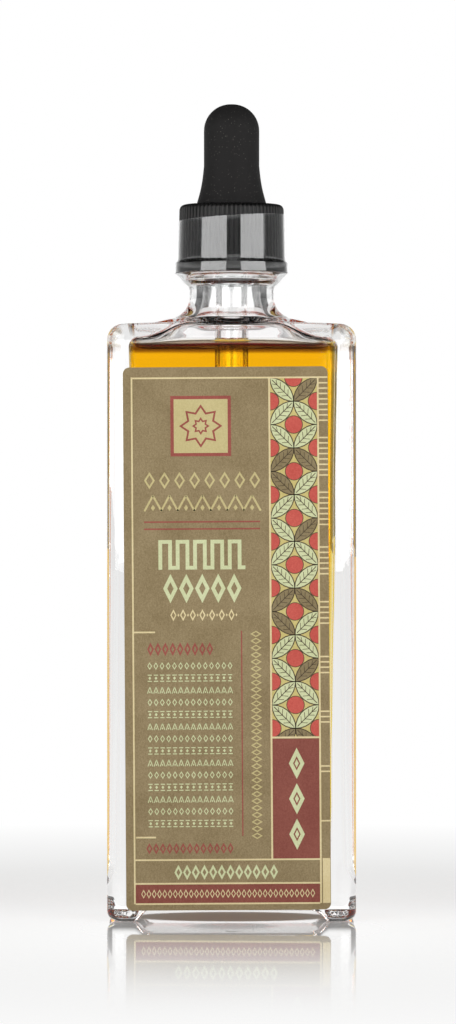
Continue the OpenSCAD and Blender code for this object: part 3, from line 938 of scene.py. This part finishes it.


# Polypropylene from a spark-eroded mould: satin, with a fine grain. The crests of the ribs are painted
# greyer and the grooves between them darker, as painted light and painted shade.
def moulded_polypropylene(tree, place):
    grain = add(tree, "ShaderNodeTexNoise", {"Vector": place, "Scale": 1000 / 0.25, "Detail": 3.0})
    cloud = add(tree, "ShaderNodeTexNoise", {"Vector": place, "Scale": 1000 / 4.0, "Detail": 2.0})
    flat = add(tree, "ShaderNodeVectorMath", {0: place, 1: (1.0, 1.0, 0.0)}, operation="MULTIPLY")
    reach = add(tree, "ShaderNodeVectorMath", {0: flat}, operation="LENGTH")
    height = add(tree, "ShaderNodeSeparateXYZ", {0: place}).outputs["Z"]
    lean = cap_draft / (cap_top_z - cap_z)
    drafted = add(tree, "ShaderNodeMath", {0: height, 1: lean, 2: -lean * cap_z * MM},
                  operation="MULTIPLY_ADD")
    crest_r = add(tree, "ShaderNodeMath", {0: reach, 1: drafted}, operation="ADD")
    # Painted light and shade: colour by distance from the axis, lighter on the rib crests, darker in the
    # grooves.
    crest_painted_light = add(tree, "ShaderNodeMapRange", {"Value": crest_r, "From Min": (rib_root_r + 0.05) * MM,
                                            "From Max": (rib_root_r + 0.95 * rib_height) * MM},
               interpolation_type="SMOOTHSTEP")
    moulded = add(tree, "ShaderNodeMix", {0: cloud, 6: "#121212", 7: "#1a1919"}, data_type="RGBA")
    rib_painted_shading = add(tree, "ShaderNodeMix", {0: crest_painted_light, 6: "#060606", 7: "#272625"}, data_type="RGBA")
    colour = add(tree, "ShaderNodeMix", {0: 0.75, 6: moulded, 7: rib_painted_shading}, data_type="RGBA")
    rough = add(tree, "ShaderNodeMapRange", {"Value": cloud, "To Min": 0.34, "To Max": 0.5})
    bump = add(tree, "ShaderNodeBump", {"Height": grain, "Strength": 0.5, "Distance": 0.02 * MM})
    plastic = add(tree, "ShaderNodeBsdfPrincipled", {"Base Color": colour, "Roughness": rough, "IOR": 1.49,
                                                     "Specular IOR Level": 0.3, "Normal": bump})
    return {"Surface": plastic}


def cap_profile():
    """The cap's section with the ribs left off, from the skirt's foot round to its bore."""
    foot_r, band_r = cap_band_r - cap_foot_edge_r, cap_band_r - cap_band_edge_r
    profile = [(skirt_bore_r + cap_bore_chamfer, cap_z), (foot_r, cap_z)]
    profile += arc(foot_r, cap_z + cap_foot_edge_r, cap_foot_edge_r, -90, 0, 3)[1:]
    profile += arc(band_r, band_top_z - cap_band_edge_r, cap_band_edge_r, 0, 90, 3)
    profile += [(rib_root_r + 0.1, band_top_z), (rib_root_r, band_top_z + 0.1)]
    profile += [(rib_root_r - cap_draft * i / 4, band_top_z + (cap_edge_z - band_top_z) * i / 4)
                for i in range(1, 4)]
    profile += arc(skirt_top_r - cap_edge_r, cap_edge_z, cap_edge_r, 0, 90, 6)
    profile += [(cap_hole_r + cap_hole_chamfer, cap_top_z), (cap_hole_r, cap_top_z - cap_hole_chamfer)]
    return profile + [(cap_hole_r, seal_z), (skirt_bore_r, seal_z), (skirt_bore_r, cap_z + cap_bore_chamfer)]


def rib_mesh():
    """One rounded rib, which follows the skirt up and over its top edge."""
    skirt_h = cap_edge_z - band_top_z
    lean = math.atan2(cap_draft, skirt_h)
    path = [(rib_root_r - cap_draft * s, band_top_z + skirt_h * s, lean) for s in rib_path_shares]
    path += [(skirt_top_r - cap_edge_r * (1 - math.cos(a)), cap_edge_z + cap_edge_r * math.sin(a), a)
             for a in (math.radians(15 * i) for i in range(1, 7))]
    path.append((skirt_top_r - cap_edge_r - rib_run_out, cap_top_z, math.pi / 2))
    rings = []
    for (r, z, facing), size in zip(path, rib_sizes):
        lifts = [rib_height * (out * size if out > 0 else out) for across, out in rib_section]
        rings.append([(r + lift * math.cos(facing), across * rib_half_w, z + lift * math.sin(facing))
                      for lift, (across, out) in zip(lifts, rib_section)])
    return skin(rings)


polypropylene = material_of("black_polypropylene", moulded_polypropylene)
piece("screw_cap_shell", lathe(cap_profile(), closed=True, steps=144), "cap",
      polypropylene, ["screw_cap"], sharp_angle=45)
piece("screw_cap_ribs", repeated(rib_mesh(), polypropylene, rib_count, turn=360 / rib_count), "cap",
      polypropylene, ["screw_cap"], sharp_angle=50)
cap_thread = thread_mesh(skirt_bore_r, crest_r=9.35, start_z=139.6, turns=1.4, root_w=1.4, crest_w=0.6)
piece("screw_cap_thread", cap_thread, "cap", polypropylene)

# The bulb is black natural rubber, dip-moulded with a thick foot. Its flange is trapped under the cap
# and seals on the rim, its waist fills the cap's hole, and the barrel above is what a hand squeezes.
bulb_r = 5.95
bulb_top_z = 174.65
bulb_foot_r = 7.5
bulb_foot_edge_r = 0.35
bulb_dome_r = 5.7
bulb_wall = 1.35
bulb_grip_z = 157.4
bulb_waist_r = 5.5
bulb_seal_r = 8.7
bulb_chamfer = 0.3
grip_r = 3.65
flare_h = 8.6
flare_z = cap_top_z + flare_h
dome_z = bulb_top_z - bulb_dome_r


# Natural rubber is matt and slightly rough, and its bloom leaves pale specks a few tenths of a
# millimetre wide.
def black_rubber(tree, place):
    grain = add(tree, "ShaderNodeTexNoise", {"Vector": place, "Scale": 1000 / 0.3, "Detail": 4.0,
                                             "Roughness": 0.7})
    cells = add(tree, "ShaderNodeTexVoronoi", {"Vector": place, "Scale": 1000 / 0.33})
    lot = add(tree, "ShaderNodeSeparateColor", {0: cells.outputs["Color"]})
    near = add(tree, "ShaderNodeMapRange", {"Value": cells, "From Min": 0.14, "From Max": 0.26,
                                            "To Min": 1.0, "To Max": 0.0})
    kept = add(tree, "ShaderNodeMapRange", {"Value": lot, "From Min": 0.72, "From Max": 1.0,
                                            "To Min": 0.0, "To Max": 0.36})
    faint = add(tree, "ShaderNodeMath", {0: near, 1: kept}, operation="MULTIPLY")
    colour = add(tree, "ShaderNodeMix", {0: faint, 6: "#181717", 7: "#b5b0a6"}, data_type="RGBA")
    bump = add(tree, "ShaderNodeBump", {"Height": grain, "Strength": 0.6, "Distance": 0.03 * MM})
    rubber = add(tree, "ShaderNodeBsdfPrincipled", {"Base Color": colour, "Roughness": 0.7, "IOR": 1.52,
                                                    "Specular IOR Level": 0.2, "Normal": bump})
    return {"Surface": rubber}


def bulb_flare(share):
    """The foot's radius at a share of the flare's height: a cone that runs out softly into the barrel."""
    cone = 1 - share
    return bulb_r + (bulb_foot_r - bulb_r) * (0.8 * cone + 0.2 * cone ** 3 - 0.1 * math.sin(math.pi * cone))


rubber = material_of("dipped_black_rubber", black_rubber)
barrel = [(0, bulb_top_z - bulb_wall)]
barrel += reversed(arc(bulb_r - bulb_dome_r, dome_z, bulb_dome_r - bulb_wall, 0, 90, 8))
barrel += [(bulb_r - bulb_wall, bulb_grip_z + bulb_chamfer),
           (bulb_r - bulb_wall - bulb_chamfer, bulb_grip_z)]
barrel += [(grip_r, bulb_grip_z), (grip_r, cap_top_z), (bulb_foot_r - bulb_foot_edge_r, cap_top_z)]
barrel += arc(bulb_foot_r - bulb_foot_edge_r, cap_top_z + bulb_foot_edge_r, bulb_foot_edge_r, -60, 0, 3)
barrel += [(bulb_flare(i / 10), cap_top_z + 0.5 + (flare_h - 0.5) * i / 10) for i in range(1, 11)]
barrel += [(bulb_r, flare_z + (dome_z - flare_z) * i / 3) for i in range(1, 3)]
barrel += arc(bulb_r - bulb_dome_r, dome_z, bulb_dome_r, 0, 88, 12) + [(0, bulb_top_z)]
barrel_piece = piece("rubber_bulb_barrel", lathe(barrel), "bulb", rubber,
                     ["rubber_bulb"], sharp_angle=60)
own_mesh(barrel_piece)
seat = [(grip_r, rim_z), (bulb_seal_r - bulb_chamfer, rim_z), (bulb_seal_r, rim_z + bulb_chamfer),
        (bulb_seal_r, seal_z), (bulb_waist_r, seal_z), (bulb_waist_r, cap_top_z), (grip_r, cap_top_z)]
piece("rubber_bulb_seat", lathe(seat, closed=True), "dropper", rubber,
      ["rubber_bulb"])

# The tamper band is a sleeve of clear film, shrunk with hot air over the cap's skirt, the ring and the
# neck. It was cut a little askew, and it splits under the cap when the bottle is first opened.
film_t = 0.1
film_gap = 0.03
film_top_z = 150.2
film_tilt = 3.5
film_flutes = 0.004
film_steps = 288
film_band_r = cap_band_r + film_gap
film_rib_r = rib_root_r + rib_height + film_gap
sleeve_shares = (0.15, 0.3, 0.5, 0.7, 0.85, 0.97)
tail = [(neck_r + film_gap, 135.1), (neck_r + film_gap, 135.5), (9.6, 135.85), (10.2, 136.35), (10.6, 136.9),
        (10.9, 137.3), (11.4, 137.75), (film_band_r - 0.1, 138.2), (film_band_r, 138.3)]


# Shrunk PET: thin, clear and glossy, with slow ripples where the heat has pulled it unevenly.
def shrink_film(tree, place):
    ripple = add(tree, "ShaderNodeTexNoise", {"Vector": place, "Scale": 1000 / 2.2, "Detail": 2.0})
    bump = add(tree, "ShaderNodeBump", {"Height": ripple, "Strength": 0.4, "Distance": 0.012 * MM})
    film = add(tree, "ShaderNodeBsdfPrincipled", {"Base Color": "#fbfcfc", "Roughness": 0.02, "IOR": 1.6,
                                                  "Transmission Weight": 1.0, "Specular IOR Level": 0.7,
                                                  "Normal": bump})
    return {"Surface": clear_to_lamps(tree, film, "#eef0f0")}


def film_mesh(line, slanted=False):
    """A skin of film outside a line of points, fluted over the ribs. Its top may follow the slanted cut."""
    angles = np.linspace(0, 2 * math.pi, film_steps, endpoint=False)
    flutes = film_flutes * np.cos(rib_count * angles)
    slant_z = band_top_z + 1
    rings = []
    for r, z in [(r + film_t, z) for r, z in line] + line[::-1]:
        ring = ring_at(angles, r + flutes * (z > band_top_z), z)
        if slanted and z > slant_z:
            share = (z - slant_z) / (film_top_z - slant_z)
            ring[:, 2] += share * ring[:, 0] * math.tan(math.radians(film_tilt))
        rings.append(ring)
    return skin(rings, closed=True)


film = material_of("clear_shrink_film", shrink_film)
film_h = film_top_z - band_top_z
sleeve = [(film_band_r, cap_z), (film_band_r, band_top_z - 0.1), (film_band_r - 0.08, band_top_z + 0.1),
          (film_rib_r + 0.05, band_top_z + 0.45), (film_rib_r, band_top_z + 0.8)]
sleeve += [(film_rib_r - cap_draft * film_h * s / (cap_edge_z - band_top_z), band_top_z + film_h * s)
           for s in sleeve_shares]
sleeve.append((film_rib_r - cap_draft + 0.02, film_top_z))
piece("shrink_band", film_mesh(sleeve, slanted=True), "cap", film,
      ["shrink_band"], sharp_angle=60)
piece("shrink_band_tail", film_mesh(tail), "bottle", film,
      ["shrink_band_tail"], sharp_angle=60)

# The studio is a gloss white floor in front of a white backdrop, with a soft lamp on each side of the
# camera. The surround's grey flags, between the four white walls, draw the outline of clear glass.
camera_data = bpy.data.cameras.new("camera")
camera_data.lens = 163.5
camera_data.sensor_width = 36.0
camera = bpy.data.objects.new("camera", camera_data)
camera.location = (-0.00077, -1.0, 0.087)
camera.rotation_euler = (math.radians(90), 0, 0)
studio.collection.objects.link(camera)
studio.camera = camera

floor_half_mm = 6000
gloss_ahead = 0.03
gloss_far = 0.18
matt_shadow_patch = (0.0105, 0.0135)
far_glow_from = 0.05
far_glow_to = 0.3
near_glow = 0.09
glow_in_glass = 0.6


# Cast acrylic, polished: it mirrors the bottle near its foot, goes matt with distance and under the
# bottle, and shines white towards the backdrop. Under the bottle it is also painted darker, a painted
# shadow.
def polished_acrylic(tree, place):
    haze = add(tree, "ShaderNodeTexNoise", {"Vector": place, "Scale": 1000 / 60.0, "Detail": 2.0})
    rough = add(tree, "ShaderNodeMapRange", {"Value": haze, "To Min": 0.02, "To Max": 0.05})
    sheet = add(tree, "ShaderNodeBsdfPrincipled", {"Base Color": "#f4f4f3", "Roughness": rough, "IOR": 1.45,
                                                   "Coat Weight": 0.8, "Coat Roughness": 0.03})
    ahead = add(tree, "ShaderNodeVectorMath", {0: place, 1: (0.0, gloss_ahead, 0.0)}, operation="ADD")
    off_gloss = add(tree, "ShaderNodeVectorMath", {0: ahead}, operation="LENGTH")
    fade = add(tree, "ShaderNodeMapRange", {"Value": off_gloss, "From Min": 0.0, "From Max": gloss_far},
               interpolation_type="SMOOTHSTEP")
    across = add(tree, "ShaderNodeVectorMath", {0: place, 1: (0.55, 1.0, 1.0)}, operation="MULTIPLY")
    under = add(tree, "ShaderNodeVectorMath", {0: across}, operation="LENGTH")
    matt_and_painted_shadow = add(tree, "ShaderNodeMapRange", {"Value": under, "From Min": matt_shadow_patch[0],
                                            "From Max": matt_shadow_patch[1], "To Min": 1.0, "To Max": 0.0},
               interpolation_type="SMOOTHSTEP")
    loss = add(tree, "ShaderNodeMath", {0: fade, 1: matt_and_painted_shadow}, operation="MAXIMUM")
    # Painted shadow: the floor under the bottle is painted darker.
    painted_shadow_colour = add(tree, "ShaderNodeMix", {0: matt_and_painted_shadow, 6: "#f8f8f7", 7: "#b9b3a9"}, data_type="RGBA")
    matt = add(tree, "ShaderNodeBsdfDiffuse", {"Color": painted_shadow_colour})
    lit = add(tree, "ShaderNodeMixShader", {0: loss, 1: sheet, 2: matt})
    glow = add(tree, "ShaderNodeEmission", {"Color": "#ffffff", "Strength": 1.0})
    rays = add(tree, "ShaderNodeLightPath").outputs
    away = add(tree, "ShaderNodeVectorMath", {0: place}, operation="LENGTH")
    far_glow = add(tree, "ShaderNodeMapRange", {"Value": away, "From Min": far_glow_from,
                                                "From Max": far_glow_to, "To Min": near_glow, "To Max": 1.0})
    seen = add(tree, "ShaderNodeMath", {0: rays["Is Camera Ray"], 1: far_glow}, operation="MULTIPLY")
    bent = add(tree, "ShaderNodeMath", {0: rays["Is Glossy Ray"], 1: rays["Is Transmission Ray"]},
               operation="MAXIMUM")
    bent_share = add(tree, "ShaderNodeMath", {0: bent, 1: glow_in_glass}, operation="MULTIPLY")
    share = add(tree, "ShaderNodeMath", {0: seen, 1: bent_share}, operation="MAXIMUM")
    mixed = add(tree, "ShaderNodeMixShader", {0: share, 1: lit, 2: glow})
    return {"Surface": mixed}


floor_corners = [(x * floor_half_mm, y * floor_half_mm, 0) for x, y in ((-1, -1), (1, -1), (1, 1), (-1, 1))]
floor_mesh = mesh_of(floor_corners, [(0, 1, 2, 3)])
floor_mesh.materials.append(material_of("white_acrylic_floor", polished_acrylic))
floor = bpy.data.objects.new("floor", floor_mesh)
studio.collection.objects.link(floor)

lamp_distance = 0.9
lamp_height = 0.4
lamp_turn = 43
lamp_aim = Vector((0, 0, 0.09))
for side in (-1, 1):
    lamp_data = bpy.data.lights.new("soft_lamp", "AREA")
    lamp_data.shape = "RECTANGLE"
    lamp_data.size = 0.6
    lamp_data.size_y = 0.9
    lamp_data.energy = 2.8
    lamp = bpy.data.objects.new("soft_lamp", lamp_data)
    turn = math.radians(side * lamp_turn)
    lamp.location = (lamp_distance * math.sin(turn), -lamp_distance * math.cos(turn), lamp_height)
    lamp.rotation_euler = (lamp_aim - lamp.location).to_track_quat("-Z", "Y").to_euler()
    lamp.visible_camera = False
    lamp.visible_glossy = False
    lamp.visible_transmission = False
    studio.collection.objects.link(lamp)

# The surround is worked out in rows, each with a name, a sum and what goes in: an earlier row's name
# or a number. A ramp's numbers are where it starts and ends, and what it gives there. Back is away
# from the camera, and angles start at the camera's side.
white_wall = 1.05
flag_grey = 0.16
zenith_grey = 0.02
box_level = 3.7
backdrop_level = 1.0
ambient_level = 0.62
deg = math.pi / 180
surround = (
    ("zenith", "RAMP", "up", 0.1, 0.42, 1.0, zenith_grey),
    ("front", "MULTIPLY", "back", -1.0),
    ("turn", "ARCTAN2", "right", "front"),
    ("sine", "SINE", "turn"),
    ("across", "ABSOLUTE", "sine"),
    ("flag_start", "RAMP", "across", 0.22, 0.28, white_wall, flag_grey),
    ("flag_end", "RAMP", "across", 0.86, 0.94, flag_grey, white_wall),
    ("flags", "MAXIMUM", "flag_start", "flag_end"),
    ("seen_through", "MULTIPLY", "flags", "zenith"),
    # Two long soft boxes, a dark room between and beside them, and a white front above.
    ("shifted", "SUBTRACT", "turn", 4 * deg),
    ("off", "ABSOLUTE", "shifted"),
    ("box_start", "RAMP", "off", 13.5 * deg, 16.5 * deg, 0.0, 1.0),
    ("box_end", "RAMP", "off", 69 * deg, 73 * deg, 1.0, 0.0),
    ("box_width", "MULTIPLY", "box_start", "box_end"),
    ("box_height", "RAMP", "up", 0.45, 0.6, 1.0, 0.0),
    ("box_shape", "MULTIPLY", "box_width", "box_height"),
    ("box", "MULTIPLY", "box_shape", box_level),
    ("level", "ABSOLUTE", "up"),
    ("in_band", "RAMP", "level", 0.12, 0.17, 1.0, 0.0),
    ("in_front", "RAMP", "off", 126 * deg, 156 * deg, 1.0, 0.0),
    ("dark", "MULTIPLY", "in_band", "in_front"),
    ("light", "SUBTRACT", 1.0, "dark"),
    ("dusk", "RAMP", "off", 15 * deg, 71 * deg, 0.1, 0.22),
    # What has gone through glass once and comes out after a mirroring inside meets wider flags and
    # a pale ceiling over the camera.
    ("bent_before", "GREATER_THAN", "depth", 0.5),
    ("straight", "SUBTRACT", 1.0, "bent_before"),
    ("aside", "ABSOLUTE", "turn"),
    ("front_top", "RAMP", "aside", 50 * deg, 80 * deg, 0.9, 0.0),
    ("overhead", "MULTIPLY", "bent_before", "front_top"),
    ("ceiling", "MAXIMUM", "zenith", "overhead"),
    ("inner_start", "RAMP", "across", 0.38, 0.46, white_wall, flag_grey),
    ("inner_flags", "MAXIMUM", "inner_start", "flag_end"),
    ("walls", "MAXIMUM", "inner_flags", "straight"),
    ("open_room", "MULTIPLY", "ceiling", "walls"),
    ("lit_part", "MULTIPLY", "light", "open_room"),
    ("dark_part", "MULTIPLY", "dark", "dusk"),
    ("room", "ADD", "lit_part", "dark_part"),
    ("shine", "MAXIMUM", "room", "box"),
    # Which of the four surrounds a ray meets.
    ("mirrored", "GREATER_THAN", "mirrorings", 0.5),
    ("scattered", "GREATER_THAN", "scatterings", 0.5),
    ("unscattered", "SUBTRACT", 1.0, "scattered"),
    ("bent", "MAXIMUM", "glossy_ray", "bent_ray"),
    ("clear", "MULTIPLY", "bent", "unscattered"),
)


def studio_world():
    world = bpy.data.worlds.new("white_surround")
    world.use_nodes = True
    tree = world.node_tree
    tree.nodes.clear()
    sight = add(tree, "ShaderNodeTexCoord").outputs["Generated"]
    way = add(tree, "ShaderNodeSeparateXYZ", {0: sight}).outputs
    rays = add(tree, "ShaderNodeLightPath").outputs
    known = {"right": way["X"], "back": way["Y"], "up": way["Z"], "depth": rays["Transmission Depth"],
             "mirrorings": rays["Glossy Depth"], "scatterings": rays["Diffuse Depth"],
             "glossy_ray": rays["Is Glossy Ray"], "bent_ray": rays["Is Transmission Ray"]}
    for name, how, *given in surround:
        inputs = {slot: known.get(value, value) for slot, value in enumerate(given)}
        if how == "RAMP":
            known[name] = add(tree, "ShaderNodeMapRange", inputs, interpolation_type="SMOOTHSTEP")
        else:
            known[name] = add(tree, "ShaderNodeMath", inputs, operation=how)
    backdrop, ambient = [add(tree, "ShaderNodeBackground", {"Color": "#ffffff", "Strength": strength})
                         for strength in (backdrop_level, ambient_level)]
    through, shine = [add(tree, "ShaderNodeBackground", {"Color": known[name], "Strength": 1.0})
                      for name in ("seen_through", "shine")]
    glass = add(tree, "ShaderNodeMixShader", {0: known["mirrored"], 1: through, 2: shine})
    object_rays = add(tree, "ShaderNodeMixShader", {0: known["clear"], 1: ambient, 2: glass})
    all_rays = add(tree, "ShaderNodeMixShader", {0: rays["Is Camera Ray"], 1: object_rays, 2: backdrop})
    add(tree, "ShaderNodeOutputWorld", {"Surface": all_rays})
    studio.world = world


studio_world()
studio.view_settings.view_transform = "Standard"
studio.cycles.transmission_bounces = 16
studio.cycles.glossy_bounces = 16
studio.cycles.transparent_max_bounces = 24
studio.cycles.max_bounces = 32
